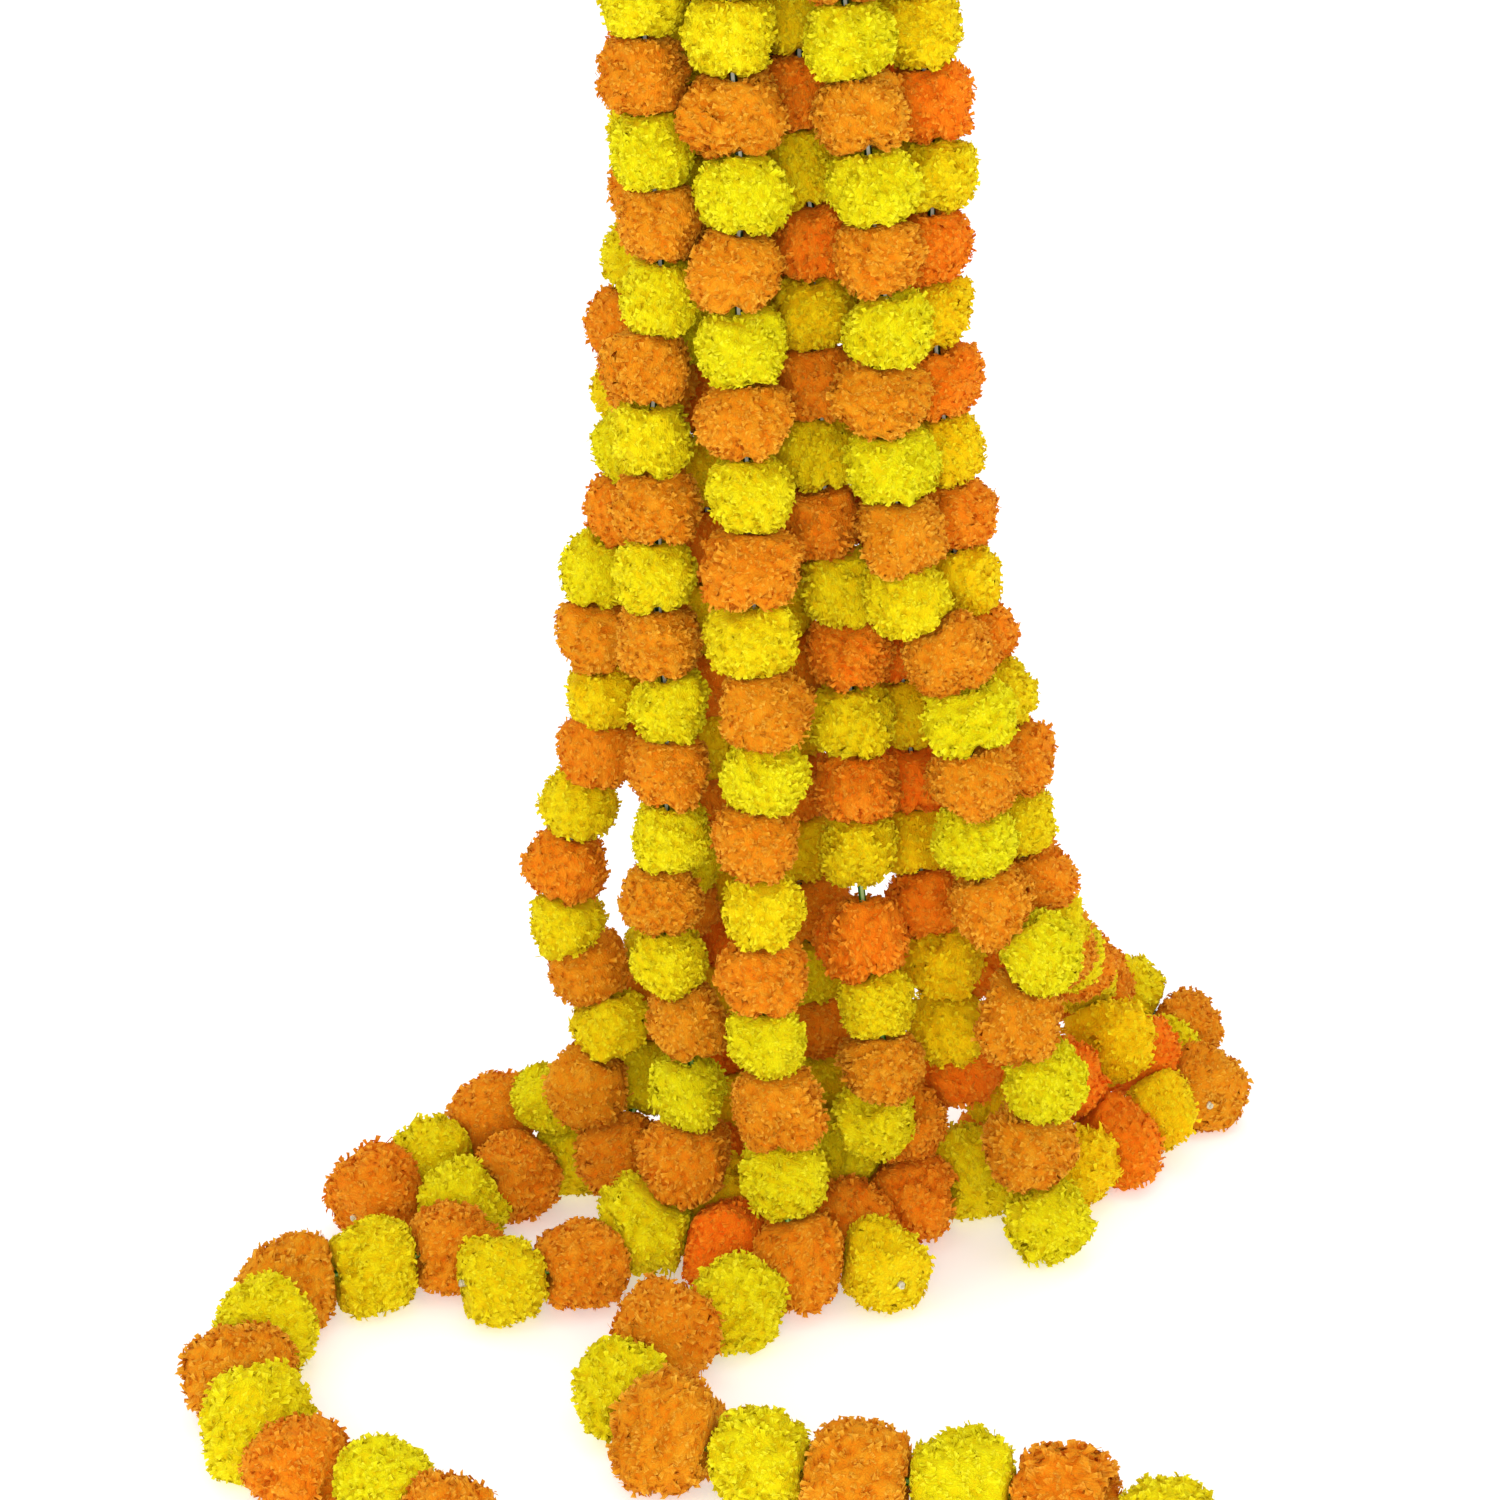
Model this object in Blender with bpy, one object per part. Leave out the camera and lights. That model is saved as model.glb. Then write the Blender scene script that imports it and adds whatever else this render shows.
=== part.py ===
"""Marigold garland: strands of fabric pompom blooms strung on cord.

Ten strands hang together from one gathering knot and its hanging loop, fall
side by side as one bunch, and trail away over the floor.  Each strand is a
cord that runs through the middle of its blooms, with a short drinking-straw
spacer between every two blooms.

Frame: metres, +Z up, +X to the right, -Y to the front.  The origin is where a
hook carries the hanging loop.  The routes below are written in millimetres
from a point on the floor under the front strand, and moved to that origin.
"""
import math

import bmesh
import bpy
import numpy as np
from mathutils import Matrix

MM = 0.001

# ------------------------------------------------------------ driving sizes
HANG = np.array([20.0, 45.0, 1205.0])   # the hook's place above the floor, mm
BLOOM_R = 27.0        # radius of a bloom's firm middle, mm
BLOOM_BELLY = 8.0     # half length of its full-width part, mm
STRAW_R = 3.0         # straw spacer, outside radius, mm
BORE_R = 2.0          # the way through for the cord, mm
CORD_R = 1.0          # cord, mm
KNOT_R = 3.2          # stop knot at a strand's end, mm
GAP = 0.35            # between pieces that meet, mm
SIDES = 6             # sides of a bloom run
CORD_SIDES = 4
ROOM = 57.0           # least distance between blooms of different strands, mm
LIE = 30.0            # height of the middle of a bloom that lies on the floor, mm

TIE_BOTTOM, TIE_TOP, TIE_R = 1115.0, 1139.0, 8.5
CORD_RING_R = 5.5     # the cords enter the knot on this circle, mm
LOOP_CORD_R = 2.0
LOOP_HALF_WIDTH = 19.0

# --------------------------------------------------------------- the strands
# name, cord's place round the knot (degrees), height of the first bloom,
# pitch hanging, pitch lying, the height below which the blooms sit looser,
# number of blooms in each run, route (x, y, height);
# and below them the one straw that is cut longer than the rest
STRANDS = [
    ("front_centre", -126, 979, 48.5, 65.0, 230, (7, 6, 6, 6, 6),
     [(-12, 0, 1010), (-12, 0, 880), (-5, -1, 785), (-8, -1, 730), (-3, -2, 636),
      (2, -3, 515), (6, -3, 420), (8, -3, 325), (9, -4, 225), (17, -5, 150),
      (20, -4, 95), (27, -2, 42), (6, -40, 30), (-12, -66, 30), (-50, -100, 30),
      (-78, -140, 30), (-80, -182, 30), (-52, -226, 30), (11, -250, 30),
      (71, -268, 30), (135, -276, 30), (198, -292, 30), (252, -317, 30),
      (298, -356, 30), (340, -398, 30), (372, -434, 30)]),
    ("front_left", -162, 996, 46.8, 57.5, 310, (6, 6, 6, 5),
     [(-67, 20, 1030), (-65, 20, 885), (-60, 21, 800), (-55, 22, 740),
      (-58, 23, 665), (-64, 24, 620), (-59, 24, 573), (-60, 26, 483),
      (-54, 27, 435), (-56, 28, 360), (-58, 28, 296), (-54, 29, 240),
      (-42, 30, 204), (-40, 31, 146), (-43, 28, 92), (-62, 18, 42),
      (-108, -9, 31), (-161, -26, 30), (-218, -36, 30)]),
    ("front_right", -90, 975, 46.6, 59.0, 400, (7, 7, 7),
     [(56, 0, 1010), (58, 0, 880), (70, 3, 830), (79, 7, 740), (90, 9, 699),
      (82, 12, 653), (88, 14, 607), (98, 17, 560), (101, 19, 515),
      (124, 21, 481), (143, 24, 440), (150, 27, 385), (154, 29, 332),
      (168, 31, 285), (199, 30, 250), (188, 35, 198), (205, 46, 138),
      (196, 54, 80), (209, 47, 35), (235, 40, 30)]),
    ("second_centre", -18, 984, 47.5, 60.0, 190, (6, 6, 6, 5),
     [(30, 50, 1020), (30, 50, 880), (33, 51, 790), (42, 52, 740),
      (43, 54, 660), (48, 55, 605), (46, 55, 570), (60, 56, 511),
      (67, 57, 450), (70, 59, 370), (74, 60, 316), (82, 52, 252),
      (88, 44, 205), (95, 34, 165), (82, 38, 122), (116, 72, 104),
      (80, 96, 60), (70, 32, 30), (103, -33, 30), (120, -80, 30)]),
    ("second_right", -54, 970, 46.0, 58.0, 300, (7, 7, 6, 6),
     [(100, 45, 1000), (103, 45, 873), (112, 48, 829), (114, 50, 760),
      (115, 53, 700), (121, 56, 649), (128, 58, 600), (130, 60, 555),
      (135, 62, 515), (145, 64, 470), (163, 65, 425), (174, 67, 370),
      (180, 68, 325), (191, 72, 280), (209, 92, 236), (232, 180, 170),
      (262, 292, 90), (302, 341, 54), (348, 306, 34),
      (308, 272, 30), (335, 236, 30), (340, 190, 30)]),
    ("left_middle", 126, 959, 45.8, 62.0, 190, (6, 6, 6, 6),
     [(-36, 70, 1010), (-38, 71, 860), (-38, 73, 735), (-46, 76, 680),
      (-60, 80, 636), (-78, 83, 598), (-81, 86, 549), (-98, 88, 505), (-101, 92, 461),
      (-99, 96, 414), (-101, 100, 372), (-117, 103, 332), (-128, 102, 283),
      (-131, 106, 238), (-112, 112, 192), (-92, 114, 152), (-114, 104, 104),
      (-148, 141, 72), (-197, 160, 43), (-240, 119, 30), (-270, 74, 30),
      (-292, 30, 30)]),
    ("left_back", 162, 992, 47.0, 58.0, 150, (6, 6, 6, 6),
     [(-62, 118, 1025), (-62, 119, 900), (-62, 120, 800), (-62, 124, 745),
      (-66, 128, 705), (-74, 134, 660), (-74, 140, 600), (-62, 144, 540),
      (-48, 146, 490), (-38, 148, 420), (-30, 152, 350), (-18, 160, 270), (-19, 165, 170),
      (-22, 176, 110), (-6, 168, 60), (-32, 118, 33), (-22, 62, 31), (-15, 20, 30), (10, -40, 30)]),
    ("middle_left", 90, 950, 48.3, 59.0, 250, (6, 6, 6, 5, 5, 5),
     [(-12, 154, 990), (-13, 153, 850), (-15, 148, 740), (-20, 130, 662),
      (-25, 106, 602), (-28, 86, 540), (-30, 79, 495), (-29, 85, 444), (-34, 92, 388),
      (-42, 104, 300), (-50, 138, 215), (-66, 152, 150), (-83, 135, 100),
      (-91, 104, 52), (-128, 144, 31), (-163, 124, 30), (-199, 98, 30),
      (-204, 56, 30), (-204, 14, 30), (-251, -11, 30), (-306, -27, 30),
      (-328, -84, 30), (-329, -158, 30), (-313, -217, 30), (-274, -262, 30),
      (-216, -284, 30), (-176, -334, 30), (-150, -392, 30), (-90, -420, 30)]),
    ("middle_back", 54, 971, 48.3, 60.0, 150, (6, 6, 6, 6),
     [(20, 109, 1015), (20, 109, 850), (24, 111, 700), (28, 110, 590),
      (30, 105, 547), (26, 104, 451), (28, 112, 350), (36, 120, 250),
      (44, 124, 165), (40, 132, 112), (36, 146, 64), (64, 152, 36),
      (98, 118, 32), (112, 75, 39), (154, 114, 32), (185, 165, 30), (215, 215, 30)]),
    ("right_back", 18, 968, 47.0, 58.0, 230, (6, 6, 5, 5, 5),
     [(75, 99, 1010), (78, 100, 850), (84, 102, 720), (90, 104, 600),
      (98, 104, 480), (106, 97, 400), (111, 96, 355), (115, 95, 310),
      (118, 88, 262), (132, 84, 222), (152, 124, 197), (140, 90, 158),
      (150, 114, 118), (193, 146, 92), (242, 188, 72), (290, 238, 84),
      (302, 232, 42), (304, 171, 30), (259, 160, 30), (226, 114, 30)]),
]

LONG_STRAWS = {("second_centre", 14): 66.0}   # pitch after that bloom, mm


# ------------------------------------------------------------- the lay of it
def smooth_route(points, per_span=24):
    """A centripetal Catmull-Rom curve through the points."""
    p = np.array(points, float)
    p = np.vstack([2 * p[0] - p[1], p, 2 * p[-1] - p[-2]])
    line = []
    for a, b, c, d in zip(p[:-3], p[1:-2], p[2:-1], p[3:]):
        t0 = 0.0
        t1 = t0 + math.sqrt(np.linalg.norm(b - a))
        t2 = t1 + math.sqrt(np.linalg.norm(c - b))
        t3 = t2 + math.sqrt(np.linalg.norm(d - c))
        for t in np.linspace(t1, t2, per_span, endpoint=False):
            a1 = (t1 - t) / (t1 - t0) * a + (t - t0) / (t1 - t0) * b
            a2 = (t2 - t) / (t2 - t1) * b + (t - t1) / (t2 - t1) * c
            a3 = (t3 - t) / (t3 - t2) * c + (t - t2) / (t3 - t2) * d
            b1 = (t2 - t) / (t2 - t0) * a1 + (t - t0) / (t2 - t0) * a2
            b2 = (t3 - t) / (t3 - t1) * a2 + (t - t1) / (t3 - t1) * a3
            line.append((t2 - t) / (t2 - t1) * b1 + (t - t1) / (t2 - t1) * b2)
    line.append(p[-2])
    return np.array(line)


def thread(strand):
    """The middles of a strand's blooms, a pitch apart along its route, and the
    place where one more would come, which the cord's end points to."""
    name, _, first, hang_pitch, lie_pitch, low, runs, points = strand
    line = smooth_route(points)
    along = np.concatenate([[0], np.cumsum(np.linalg.norm(np.diff(line, axis=0), axis=1))])
    place = lambda s: np.array([np.interp(s, along, line[:, k]) for k in range(3)])
    s = along[int(np.argmax(line[:, 2] <= first))]
    middles = []
    for k in range(sum(runs) + 1):
        if s > along[-1]:
            over = line[-1] - line[-2]
            p = line[-1] + over / np.linalg.norm(over) * (s - along[-1])
        else:
            p = place(s)
        middles.append(p)
        t = min(1.0, max(0.0, (low - p[2]) / (0.6 * low)))
        s += LONG_STRAWS.get((name, k), hang_pitch + (lie_pitch - hang_pitch) * t * t * (3 - 2 * t))
    return np.array(middles)


def settle(middles, rounds=500):
    """Move the blooms apart until none is closer than ROOM to another strand's,
    with each cord's pitch kept and nothing below the floor."""
    start = np.vstack(middles)
    owner = np.concatenate([[k] * len(m) for k, m in enumerate(middles)])
    n = len(start)
    i, j = np.triu_indices(n, 1)
    far = ~((owner[i] == owner[j]) & (j - i == 1))
    i, j = i[far], j[far]
    links = np.array([k for k in range(n - 1) if owner[k] == owner[k + 1]])
    pitch = np.linalg.norm(start[links + 1] - start[links], axis=1)
    p = start.copy()
    for r in range(rounds):
        if r < rounds * 0.7:
            p += 0.03 * (start - p)
        d = p[links + 1] - p[links]
        long = np.linalg.norm(d, axis=1)
        push = (0.5 * (1 - pitch / long))[:, None] * d
        np.add.at(p, links, 0.6 * push)
        np.add.at(p, links + 1, -0.6 * push)
        d = p[j] - p[i]
        long = np.linalg.norm(d, axis=1)
        near = long < ROOM + 0.4
        a, b = i[near], j[near]
        push = (0.5 * (ROOM + 0.4 - long[near]) / np.maximum(long[near], 1e-6))[:, None] * d[near]
        np.add.at(p, a, -0.8 * push)
        np.add.at(p, b, 0.8 * push)
        p[:, 2] = np.maximum(p[:, 2], LIE)
    cuts = np.cumsum([len(m) for m in middles])[:-1]
    return np.split(p, cuts)


def unit(v):
    return v / max(np.linalg.norm(v), 1e-9)


def necks_of(middles, onward):
    """The places between blooms where the straws sit, one more than the blooms."""
    inner = (middles[1:] + middles[:-1]) / 2
    top = middles[0] + (middles[0] - middles[1]) / 2
    return np.vstack([top, inner, middles[-1] + onward / 2])


def frames_along(points, first_side=(1.0, 0.0, 0.0)):
    """Tangent and two side vectors at each point, carried along without twist."""
    tangents = [unit(points[1] - points[0])]
    for k in range(1, len(points) - 1):
        tangents.append(unit(unit(points[k + 1] - points[k]) + unit(points[k] - points[k - 1])))
    tangents.append(unit(points[-1] - points[-2]))
    side, out = np.array(first_side), []
    for t in tangents:
        side = unit(side - t * side.dot(t))
        out.append((t, side, np.cross(t, side)))
    return out


# ------------------------------------------------------------- mesh building
def put_ring(bm, centre, side, up, radius, sides):
    """A circle round the centre, in the plane of the two side vectors."""
    place = Matrix((side, up, np.cross(side, up))).transposed().to_4x4()
    place.translation = (centre - HANG) * MM
    ring = bmesh.ops.create_circle(bm, segments=sides, radius=radius * MM, matrix=place)
    return ring["verts"]


def skin(bm, rings):
    for a, b in zip(rings[:-1], rings[1:]):
        n = len(a)
        for k in range(n):
            bm.faces.new((a[k], a[(k + 1) % n], b[(k + 1) % n], b[k]))


def finish(name, bm, colour, roughness, smooth=True):
    bmesh.ops.recalc_face_normals(bm, faces=bm.faces[:])
    bmesh.ops.triangulate(bm, faces=bm.faces[:])
    mesh = bpy.data.meshes.new(name)
    bm.to_mesh(mesh)
    bm.free()
    if smooth:
        mesh.shade_smooth()
        mesh.set_sharp_from_angle(angle=math.radians(50))
    obj = bpy.data.objects.new(name, mesh)
    bpy.context.scene.collection.objects.link(obj)
    obj.parent = hang_point
    mat = bpy.data.materials.new(name)
    mat.use_nodes = True
    shader = mat.node_tree.nodes["Principled BSDF"]
    shader.inputs["Base Color"].default_value = (*colour, 1.0)
    shader.inputs["Roughness"].default_value = roughness
    shader.inputs["Metallic"].default_value = 0.0
    mesh.materials.append(mat)
    return obj


def bloom_run(name, middles, necks, frames, first, last, colour):
    """The blooms first..last of a strand with the straws between them, as one
    body with the cord's way through it."""
    bm = bmesh.new()
    outer, inner = [], []
    for k in range(first, last + 1):
        t, side, up = frames[k]
        if k == first:
            start = necks[k] + t * (GAP / 2)
            outer.append(put_ring(bm, start, side, up, STRAW_R, SIDES))
            inner.append(put_ring(bm, start, side, up, BORE_R, SIDES))
        t2, side2, up2 = frames[k + 1]
        axis = unit(necks[k + 1] - necks[k])
        s_mid = unit(side - axis * side.dot(axis))
        u_mid = np.cross(axis, s_mid)
        for shift in (-BLOOM_BELLY, BLOOM_BELLY):
            outer.append(put_ring(bm, middles[k] + shift * axis, s_mid, u_mid, BLOOM_R, SIDES))
        end = necks[k + 1] - (t2 * (GAP / 2) if k == last else 0 * t2)
        outer.append(put_ring(bm, end, side2, up2, STRAW_R, SIDES))
        inner.append(put_ring(bm, end, side2, up2, BORE_R, SIDES))
    skin(bm, outer)
    skin(bm, inner[::-1])
    skin(bm, [inner[0], outer[0]])
    skin(bm, [outer[-1], inner[-1]])
    return finish(name, bm, colour, 0.9)


def string_of(name, line, tail, frames):
    """The cord of a strand, with its stop knot after the last bloom."""
    bm = bmesh.new()
    rings = [put_ring(bm, p, s, u, CORD_R, CORD_SIDES) for p, (t, s, u) in zip(line, frames)]
    t, s, u = frames[-1]
    for along, radius in tail:
        rings.append(put_ring(bm, line[-1] + t * along, s, u, radius, CORD_SIDES))
    skin(bm, rings)
    bm.faces.new(rings[0][::-1])
    bm.faces.new(rings[-1])
    return finish(name, bm, (0.82, 0.80, 0.70), 0.8)


def lead_in(slot, neck, towards):
    """From the knot's underside down to a strand's first bloom."""
    span = np.linalg.norm(neck - slot)
    out = []
    for t in np.linspace(0, 1, 9)[:-1]:
        h = (2 * t**3 - 3 * t**2 + 1, t**3 - 2 * t**2 + t, -2 * t**3 + 3 * t**2, t**3 - t**2)
        out.append(h[0] * slot + h[1] * np.array([0, 0, -0.7 * span]) + h[2] * neck + h[3] * 0.8 * span * towards)
    return np.array(out)


# ------------------------------------------------------------------ assembly
for old in list(bpy.data.objects):
    bpy.data.objects.remove(old, do_unlink=True)

hang_point = bpy.data.objects.new("hang_point", None)
hang_point.empty_display_size = 0.05
bpy.context.scene.collection.objects.link(hang_point)

YELLOW, ORANGE = (0.92, 0.70, 0.02), (0.85, 0.25, 0.02)

threaded = [thread(s) for s in STRANDS]
laid = settle([t[:-1] for t in threaded])
for strand, middles, route in zip(STRANDS, laid, threaded):
    name, slot_angle, runs = strand[0], math.radians(strand[1]), strand[6]
    necks = necks_of(middles, route[-1] - route[-2])
    slot = np.array([HANG[0] + CORD_RING_R * math.cos(slot_angle),
                     HANG[1] + CORD_RING_R * math.sin(slot_angle),
                     TIE_BOTTOM - GAP])
    top = lead_in(slot, necks[0], unit(middles[0] - necks[0]))
    line = np.vstack([top, necks])
    frames = frames_along(line)
    tail = [(1.2, CORD_R), (2.2, KNOT_R), (6.0, KNOT_R), (7.0, CORD_R), (13.0, CORD_R)]
    string_of(name + "_string", line, tail, frames)
    frames = frames[len(top):]
    first = 0
    for r, count in enumerate(runs):
        colour = YELLOW if first % 2 == 0 else ORANGE
        bloom_run(f"{name}_blooms_{r + 1}", middles, necks, frames, first, first + count - 1, colour)
        first += count

# the gathering knot: the cords' ends bound together with a whipping
bm = bmesh.new()
profile = [(0.0, TIE_R - 2.0), (3.0, TIE_R), (21.0, TIE_R), (24.0, TIE_R - 2.5)]
rings = [put_ring(bm, np.array([HANG[0], HANG[1], TIE_BOTTOM + h]), np.array([1.0, 0, 0]),
                  np.array([0, 1.0, 0]), r, 14) for h, r in profile]
skin(bm, rings)
bm.faces.new(rings[0][::-1])
bm.faces.new(rings[-1])
finish("gathering_knot", bm, (0.80, 0.76, 0.62), 0.85)

# the hanging loop: a teardrop of doubled cord that stands on the knot
bottom = TIE_TOP + GAP + LOOP_CORD_R
top = HANG[2] + LOOP_CORD_R
bm = bmesh.new()
turns = [2 * math.pi * k / 26 for k in range(26)]
middle = [np.array([HANG[0] + LOOP_HALF_WIDTH * math.sin(a) * math.sin(a / 2) ** 1.3,
                    HANG[1],
                    bottom + (top - bottom) * (1 - math.cos(a)) / 2]) for a in turns]
rings = []
for k in range(len(middle)):
    t = unit(middle[(k + 1) % len(middle)] - middle[k - 1])
    out = np.array([0, 1.0, 0])
    rings.append(put_ring(bm, middle[k], out, np.cross(t, out), LOOP_CORD_R, 6))
skin(bm, rings + [rings[0]])
finish("hanging_loop", bm, (0.80, 0.76, 0.62), 0.85)
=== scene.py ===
import math

import bmesh
import bpy
import numpy as np
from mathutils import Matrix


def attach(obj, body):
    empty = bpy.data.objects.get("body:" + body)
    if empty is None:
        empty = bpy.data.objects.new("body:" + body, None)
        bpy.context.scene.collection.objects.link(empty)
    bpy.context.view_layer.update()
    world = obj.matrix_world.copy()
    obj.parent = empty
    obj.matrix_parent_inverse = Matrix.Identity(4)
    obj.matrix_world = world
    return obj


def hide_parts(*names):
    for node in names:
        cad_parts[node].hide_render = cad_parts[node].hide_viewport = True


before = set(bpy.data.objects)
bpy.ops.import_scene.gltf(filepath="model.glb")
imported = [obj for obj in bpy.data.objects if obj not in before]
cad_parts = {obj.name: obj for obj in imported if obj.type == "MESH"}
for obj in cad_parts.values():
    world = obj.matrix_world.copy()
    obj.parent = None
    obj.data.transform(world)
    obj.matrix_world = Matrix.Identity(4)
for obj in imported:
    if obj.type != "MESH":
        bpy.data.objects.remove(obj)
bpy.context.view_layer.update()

MM = 0.001

# ------------------------------------------------------------------ camera
camera = bpy.data.objects.new("camera", bpy.data.cameras.new("camera"))
bpy.context.scene.collection.objects.link(camera)
camera.location = (-0.020, -2.153, 0.102)
camera.rotation_euler = (math.radians(90.0 - 23.0), 0.0, 0.0)
camera.data.lens = 84.0
camera.data.sensor_width = 36.0
camera.data.clip_end = 60.0
bpy.context.scene.camera = camera

# ------------------------------------------------- the lay, as in part.py
HANG = np.array([20.0, 45.0, 1205.0])
ROOM, LIE, GAP = 57.0, 30.0, 0.35
TIE_BOTTOM, CORD_RING_R = 1115.0, 5.5
FLOOR_Z = -HANG[2] * MM

# name, place round the knot, first height, pitches, loose below, runs, route
STRANDS = [
    ("front_centre", -126, 979, 48.5, 65.0, 230, (7, 6, 6, 6, 6),
     [(-12, 0, 1010), (-12, 0, 880), (-5, -1, 785), (-8, -1, 730), (-3, -2, 636),
      (2, -3, 515), (6, -3, 420), (8, -3, 325), (9, -4, 225), (17, -5, 150),
      (20, -4, 95), (27, -2, 42), (6, -40, 30), (-12, -66, 30), (-50, -100, 30),
      (-78, -140, 30), (-80, -182, 30), (-52, -226, 30), (11, -250, 30),
      (71, -268, 30), (135, -276, 30), (198, -292, 30), (252, -317, 30),
      (298, -356, 30), (340, -398, 30), (372, -434, 30)]),
    ("front_left", -162, 996, 46.8, 57.5, 310, (6, 6, 6, 5),
     [(-67, 20, 1030), (-65, 20, 885), (-60, 21, 800), (-55, 22, 740),
      (-58, 23, 665), (-64, 24, 620), (-59, 24, 573), (-60, 26, 483),
      (-54, 27, 435), (-56, 28, 360), (-58, 28, 296), (-54, 29, 240),
      (-42, 30, 204), (-40, 31, 146), (-43, 28, 92), (-62, 18, 42),
      (-108, -9, 31), (-161, -26, 30), (-218, -36, 30)]),
    ("front_right", -90, 975, 46.6, 59.0, 400, (7, 7, 7),
     [(56, 0, 1010), (58, 0, 880), (70, 3, 830), (79, 7, 740), (90, 9, 699),
      (82, 12, 653), (88, 14, 607), (98, 17, 560), (101, 19, 515),
      (124, 21, 481), (143, 24, 440), (150, 27, 385), (154, 29, 332),
      (168, 31, 285), (199, 30, 250), (188, 35, 198), (205, 46, 138),
      (196, 54, 80), (209, 47, 35), (235, 40, 30)]),
    ("second_centre", -18, 984, 47.5, 60.0, 190, (6, 6, 6, 5),
     [(30, 50, 1020), (30, 50, 880), (33, 51, 790), (42, 52, 740),
      (43, 54, 660), (48, 55, 605), (46, 55, 570), (60, 56, 511),
      (67, 57, 450), (70, 59, 370), (74, 60, 316), (82, 52, 252),
      (88, 44, 205), (95, 34, 165), (82, 38, 122), (116, 72, 104),
      (80, 96, 60), (70, 32, 30), (103, -33, 30), (120, -80, 30)]),
    ("second_right", -54, 970, 46.0, 58.0, 300, (7, 7, 6, 6),
     [(100, 45, 1000), (103, 45, 873), (112, 48, 829), (114, 50, 760),
      (115, 53, 700), (121, 56, 649), (128, 58, 600), (130, 60, 555),
      (135, 62, 515), (145, 64, 470), (163, 65, 425), (174, 67, 370),
      (180, 68, 325), (191, 72, 280), (209, 92, 236), (232, 180, 170),
      (262, 292, 90), (302, 341, 54), (348, 306, 34),
      (308, 272, 30), (335, 236, 30), (340, 190, 30)]),
    ("left_middle", 126, 959, 45.8, 62.0, 190, (6, 6, 6, 6),
     [(-36, 70, 1010), (-38, 71, 860), (-38, 73, 735), (-46, 76, 680),
      (-60, 80, 636), (-78, 83, 598), (-81, 86, 549), (-98, 88, 505), (-101, 92, 461),
      (-99, 96, 414), (-101, 100, 372), (-117, 103, 332), (-128, 102, 283),
      (-131, 106, 238), (-112, 112, 192), (-92, 114, 152), (-114, 104, 104),
      (-148, 141, 72), (-197, 160, 43), (-240, 119, 30), (-270, 74, 30),
      (-292, 30, 30)]),
    ("left_back", 162, 992, 47.0, 58.0, 150, (6, 6, 6, 6),
     [(-62, 118, 1025), (-62, 119, 900), (-62, 120, 800), (-62, 124, 745),
      (-66, 128, 705), (-74, 134, 660), (-74, 140, 600), (-62, 144, 540),
      (-48, 146, 490), (-38, 148, 420), (-30, 152, 350), (-18, 160, 270), (-19, 165, 170),
      (-22, 176, 110), (-6, 168, 60), (-32, 118, 33), (-22, 62, 31), (-15, 20, 30), (10, -40, 30)]),
    ("middle_left", 90, 950, 48.3, 59.0, 250, (6, 6, 6, 5, 5, 5),
     [(-12, 154, 990), (-13, 153, 850), (-15, 148, 740), (-20, 130, 662),
      (-25, 106, 602), (-28, 86, 540), (-30, 79, 495), (-29, 85, 444), (-34, 92, 388),
      (-42, 104, 300), (-50, 138, 215), (-66, 152, 150), (-83, 135, 100),
      (-91, 104, 52), (-128, 144, 31), (-163, 124, 30), (-199, 98, 30),
      (-204, 56, 30), (-204, 14, 30), (-251, -11, 30), (-306, -27, 30),
      (-328, -84, 30), (-329, -158, 30), (-313, -217, 30), (-274, -262, 30),
      (-216, -284, 30), (-176, -334, 30), (-150, -392, 30), (-90, -420, 30)]),
    ("middle_back", 54, 971, 48.3, 60.0, 150, (6, 6, 6, 6),
     [(20, 109, 1015), (20, 109, 850), (24, 111, 700), (28, 110, 590),
      (30, 105, 547), (26, 104, 451), (28, 112, 350), (36, 120, 250),
      (44, 124, 165), (40, 132, 112), (36, 146, 64), (64, 152, 36),
      (98, 118, 32), (112, 75, 39), (154, 114, 32), (185, 165, 30), (215, 215, 30)]),
    ("right_back", 18, 968, 47.0, 58.0, 230, (6, 6, 5, 5, 5),
     [(75, 99, 1010), (78, 100, 850), (84, 102, 720), (90, 104, 600),
      (98, 104, 480), (106, 97, 400), (111, 96, 355), (115, 95, 310),
      (118, 88, 262), (132, 84, 222), (152, 124, 197), (140, 90, 158),
      (150, 114, 118), (193, 146, 92), (242, 188, 72), (290, 238, 84),
      (302, 232, 42), (304, 171, 30), (259, 160, 30), (226, 114, 30)]),
]
LONG_STRAWS = {("second_centre", 14): 66.0}


def smooth_route(points, per_span=24):
    p = np.array(points, float)
    p = np.vstack([2 * p[0] - p[1], p, 2 * p[-1] - p[-2]])
    line = []
    for a, b, c, d in zip(p[:-3], p[1:-2], p[2:-1], p[3:]):
        t0 = 0.0
        t1 = t0 + math.sqrt(np.linalg.norm(b - a))
        t2 = t1 + math.sqrt(np.linalg.norm(c - b))
        t3 = t2 + math.sqrt(np.linalg.norm(d - c))
        for t in np.linspace(t1, t2, per_span, endpoint=False):
            a1 = (t1 - t) / (t1 - t0) * a + (t - t0) / (t1 - t0) * b
            a2 = (t2 - t) / (t2 - t1) * b + (t - t1) / (t2 - t1) * c
            a3 = (t3 - t) / (t3 - t2) * c + (t - t2) / (t3 - t2) * d
            b1 = (t2 - t) / (t2 - t0) * a1 + (t - t0) / (t2 - t0) * a2
            b2 = (t3 - t) / (t3 - t1) * a2 + (t - t1) / (t3 - t1) * a3
            line.append((t2 - t) / (t2 - t1) * b1 + (t - t1) / (t2 - t1) * b2)
    line.append(p[-2])
    return np.array(line)


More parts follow.
